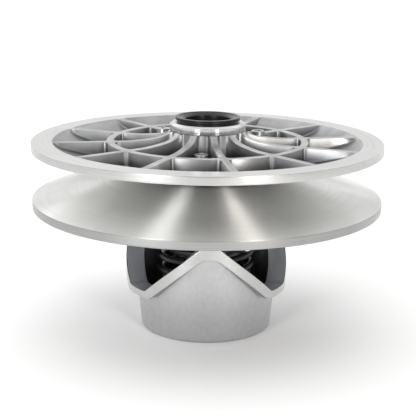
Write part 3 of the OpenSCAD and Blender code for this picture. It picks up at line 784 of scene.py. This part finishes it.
def cam_cup():
    """Cam: a cup with three roof-shaped ramps, made of slices round the shaft."""
    edge = cam_edge()
    sections = []
    for i, (angle, height) in enumerate(edge):
        before, after = edge[i - 1], edge[(i + 1) % len(edge)]
        run = (after[0] - before[0]) % 360
        slope = Vector((run, after[1] - before[1])).normalized()
        sections.append(cam_section(angle, height, -slope.y, slope.x))
    count = len(sections[0])
    points = [(r * math.sin(math.radians(a)), -r * math.cos(math.radians(a)), z)
              for rows in sections for r, a, z in rows]
    rings = [list(range(i * count, (i + 1) * count)) for i in range(len(sections))]
    faces = [f for i in range(len(rings)) for f in bridge(rings[i - 1], rings[i])]
    item = piece("cam_cup_machined", points, faces, ROOT,
                 MATERIALS["brushed_aluminium"], 40)
    band_in, band_low = FLANGE_R - 0.8, VALLEY_LOW + 0.3
    zone(item, lambda r, z, n: r > band_in and z > band_low, MATERIALS["machined_aluminium"])
    zone(item, lambda r, z, n: WALL_IN < r < band_in and z > band_low and n.z > 0.3,
         MATERIALS["ramp_aluminium"])
    # The cup's inside gets the near-black cast metal: painted shade.
    zone(item, lambda r, z, n: 31 < r < WALL_IN + 0.1 and z > 7.9, MATERIALS["cast_dark"])
    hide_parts("cam_cup")


# ---- shaft, spring, rollers and small parts ----

def drive_shaft():
    """Hollow shaft with a flanged end, and grooves for the snap ring and the O-ring."""
    flange = SHAFT_TOP - 3
    turned("drive_shaft_turned", rounded([
        (PILOT_R, SHAFT_LOW, 0.6), (SHAFT_R, SHAFT_LOW, 0.8), (SHAFT_R, 2.9, 0.1), (20.8, 2.9, 0.1),
        (20.8, 4.9, 0.1), (SHAFT_R, 4.9, 0.1), (SHAFT_R, COLLAR_TOP + 0.1, 0.3),
        (24, COLLAR_TOP + 0.1, 0.2), (24, flange + 0.2, 0.5), (25.3, flange + 0.5, 0.4),
        (25.3, flange + 1.5, 0.2), (24.8, flange + 1.7, 0.2), (25.3, flange + 1.9, 0.2),
        (25.3, SHAFT_TOP, 0.8), (22.6, SHAFT_TOP, 0.4), (22.2, SHAFT_TOP - 0.7, 0.3),
        (20.2, SHAFT_TOP - 0.7, 0.4), (BORE_R, SHAFT_TOP - 2.4, 0.8), (BORE_R, 47.6, 0.1),
        (BORE_R + 1.7, 47.6, 0.1), (BORE_R + 1.7, 44.4, 0.1), (BORE_R, 44.4, 0.1), (BORE_R, 39, 1),
        (PILOT_R, 36, 1)], 3), ROOT, MATERIALS["black_steel"], 160)
    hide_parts("drive_shaft")


def spring():
    """Wire swept round in open turns, with a closed turn at each end."""
    wire_r, mean_r, open_turns, sides, steps = 2.75, 36.7, 6, 14, 48
    turns = open_turns + 2
    low, high = SPRING_LOW + wire_r + 0.02, SPRING_HIGH - wire_r - 0.02
    closed = 5.6 * 1.04         # pitch of a closed turn

    def height(turn):
        if turn < 1:
            return low + turn * closed
        if turn > turns - 1:
            return high - (turns - turn) * closed
        return low + closed + (turn - 1) / open_turns * (high - low - 2 * closed)

    points = []
    for i in range(turns * steps + 1):
        t = i / steps
        # averaged over a short stretch, so that the pitch changes softly
        z = sum(height(min(turns, max(0, t + d))) for d in (-0.06, 0, 0.06)) / 3
        a = 2 * math.pi * t
        for k in range(sides):
            b = 2 * math.pi * k / sides
            r = mean_r + wire_r * math.cos(b)
            points.append((r * math.cos(a), r * math.sin(a),
                           max(SPRING_LOW, min(SPRING_HIGH, z + wire_r * math.sin(b)))))
    rings = [list(range(i * sides, (i + 1) * sides)) for i in range(turns * steps + 1)]
    faces = [f for i in range(1, len(rings)) for f in bridge(rings[i - 1], rings[i])]
    item = piece("spring_coil", points, faces + [tuple(rings[0]), tuple(rings[-1])], ROOT,
                 MATERIALS["black_spring"], 50)
    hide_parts("spring")
    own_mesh(item)


def roller(letter, side, body):
    """Moulded roller round its bush."""
    low, high = ROLLER_MID - ROLLER_HALF, ROLLER_MID + ROLLER_HALF
    profile = rounded([(5, low, 0.4), (7.2, low, 0.3), (7.4, low + 0.5, 0.3),
                       (ROLLER_R, low + 0.9, 0.7), (ROLLER_R, high - 0.9, 0.7),
                       (7.4, high - 0.5, 0.3), (7.2, high, 0.3), (5, high, 0.4)], 3)
    item = turned("roller_%s_moulded" % letter, profile, body,
                  MATERIALS["roller_polymer"], 64, on_pin(side))
    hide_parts("roller_" + letter)


def keeper(letter, side):
    """Plate over a roller pin, with the socket screw that holds it."""
    end_r = 5.6
    reach_out = math.hypot(SCREW_SIDE, SCREW_DROP)
    tilt = Matrix.Rotation(-math.atan2(SCREW_DROP, SCREW_SIDE), 4, "Z")
    shape = arc(0, 0, end_r, 90, 270, 14) + arc(reach_out, 0, end_r, -90, 90, 14)
    points, faces = extruded(shape, KEEPER_IN, KEEPER_IN + KEEPER_T, 0.35)
    plate = piece("keeper_%s_plate" % letter, [on_pin(side) @ tilt @ Vector(p) for p in points],
                  faces, MOVING, MATERIALS["black_steel"])
    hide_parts("keeper_" + letter)
    place = on_pin(side) @ Matrix.Translation((SCREW_SIDE, -SCREW_DROP, 0))
    under = KEEPER_IN + KEEPER_T
    profile = rounded([(0.001, TOWER_IN + 1), (2.5, TOWER_IN + 1, 0.4), (2.5, under),
                       (4.0, under, 0.2), (4.0, under + 2.6, 0.7), (2.3, under + 2.6, 0.25),
                       (2.15, under + 1.3), (0.001, under + 1.1)], 3)
    screw = turned("keeper_screw_%s_socket" % letter, profile, MOVING,
                   MATERIALS["screw_steel"], 36, place)
    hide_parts("keeper_screw_" + letter)


def carried_over():
    """The CAD nodes that stay get their material and softened edges."""
    slots = {p["node"]: p["material_slot"] for p in frame["record"]["subparts"]}
    for name, node in frame["nodes"].items():
        if node.hide_render:
            continue
        node.data.materials.clear()
        node.data.materials.append(MATERIALS[slots[name]])
        soften = node.modifiers.new("soft edges", "BEVEL")
        soften.width = 0.25 * MM
        soften.segments = 2
        soften.limit_method = "ANGLE"
        soften.angle_limit = math.radians(40)


# ---- camera, light and floor ----

def camera():
    """Camera at the photograph's angle: low, from the front, a little to the left."""
    azimuth, elevation, distance = math.radians(-2.6), math.radians(14.05), 0.861
    aside, height, tilt = 0.0009, 0.0943, math.radians(0.67)
    level = math.cos(elevation)
    back = Vector((math.sin(azimuth) * level, -math.cos(azimuth) * level, math.sin(elevation)))
    aim = Vector((aside * math.cos(azimuth), aside * math.sin(azimuth), height))
    data = bpy.data.cameras.new("camera")
    data.lens = 93.9
    data.sensor_width = 36.0
    item = bpy.data.objects.new("camera", data)
    bpy.context.scene.collection.objects.link(item)
    item.location = aim + back * distance
    item.rotation_mode = "QUATERNION"
    roll = Matrix.Rotation(tilt, 4, "Z").to_quaternion()
    item.rotation_quaternion = (-back).to_track_quat("-Z", "Y") @ roll
    bpy.context.scene.camera = item


def area_light(name, place, aim, width, height, power, shade=(1, 1, 1)):
    """A rectangular light at a place, in metres, that faces a point."""
    data = bpy.data.lights.new(name, "AREA")
    data.shape = "RECTANGLE"
    data.size, data.size_y = width, height
    data.energy = power
    data.color = shade
    item = bpy.data.objects.new(name, data)
    bpy.context.scene.collection.objects.link(item)
    item.location = place
    item.rotation_mode = "QUATERNION"
    item.rotation_quaternion = (Vector(aim) - Vector(place)).to_track_quat("-Z", "Y")


def world():
    """Soft room: white behind the object, greyer in front and overhead, dark behind the camera."""
    made = bpy.data.worlds.new("studio")
    bpy.context.scene.world = made
    made.use_nodes = True
    nodes, link = made.node_tree.nodes, made.node_tree.links.new
    parts = nodes.new("ShaderNodeSeparateXYZ")
    link(nodes.new("ShaderNodeTexCoord").outputs["Generated"], parts.inputs[0])

    def ranged(value, start, end, low, high):
        """Maps a value from start to end onto low to high."""
        node = nodes.new("ShaderNodeMapRange")
        for name, number in (("From Min", start), ("From Max", end),
                             ("To Min", low), ("To Max", high)):
            node.inputs[name].default_value = number
        link(value, node.inputs["Value"])
        return node.outputs["Result"]

    def combined(operation, *values):
        """One or two values put through a math node."""
        node = nodes.new("ShaderNodeMath")
        node.operation = operation
        for value, socket in zip(values, node.inputs):
            link(value, socket)
        return node.outputs[0]

    depth = ranged(parts.outputs["Y"], -0.6, 0.5, 0.46, 1.05)
    rise = ranged(parts.outputs["Z"], 0.25, 0.9, 1.0, 0.4)
    beside = ranged(combined("ABSOLUTE", parts.outputs["X"]), 0.34, 0.46, 0.2, 1.0)
    behind = ranged(parts.outputs["Y"], -0.7, -0.4, 0.0, 1.0)
    lobe = combined("MAXIMUM", beside, behind)
    link(combined("MULTIPLY", combined("MULTIPLY", depth, rise), lobe),
         nodes["Background"].inputs["Strength"])
    nodes["Background"].inputs["Color"].default_value = (1, 1, 1, 1)


def studio():
    """Floor, room and lights."""
    mesh = bpy.data.meshes.new("floor")
    far = 30.0
    corners = [(-far, -far, 0), (far, -far, 0), (far, far, 0), (-far, far, 0)]
    mesh.from_pydata(corners, [], [(0, 1, 2, 3)])
    floor = bpy.data.objects.new("floor", mesh)
    bpy.context.scene.collection.objects.link(floor)
    floor.location.z = -0.0002  # just under the cup's foot
    material, add, link = shader("floor_paper", 0.0, Roughness=0.9)
    fibres = add("TexNoise", {"Vector": add("TexCoord")["Object"], "Scale": 300.0})["Fac"]
    link(tint(add, fibres, (0.93, 0.93, 0.93), (0.96, 0.96, 0.96)), "Base Color")
    mesh.materials.append(material)
    world()
    target = (0, 0, 0.12)
    area_light("front_left", (-0.71, -1.06, 0.45), target, 0.34, 0.5, 6)
    area_light("front_right", (0.57, -1.18, 0.45), target, 0.24, 0.5, 6, (1.0, 0.96, 0.91))
    sun = bpy.data.objects.new("sun", bpy.data.lights.new("sun", "SUN"))
    bpy.context.scene.collection.objects.link(sun)
    sun.data.energy = 2.1
    sun.data.angle = math.radians(110)
    sun.rotation_euler = (math.radians(-12), math.radians(-8), 0)
    bpy.context.scene.view_settings.view_transform = "Standard"


camera()
studio()
fixed_sheave()
moving_sheave()
cam_cup()
drive_shaft()
spring()
for letter, side, body in zip("abc", PEAKS, ("front_roller", "right_roller", "left_roller")):
    roller(letter, side, body)
    keeper(letter, side)
carried_over()
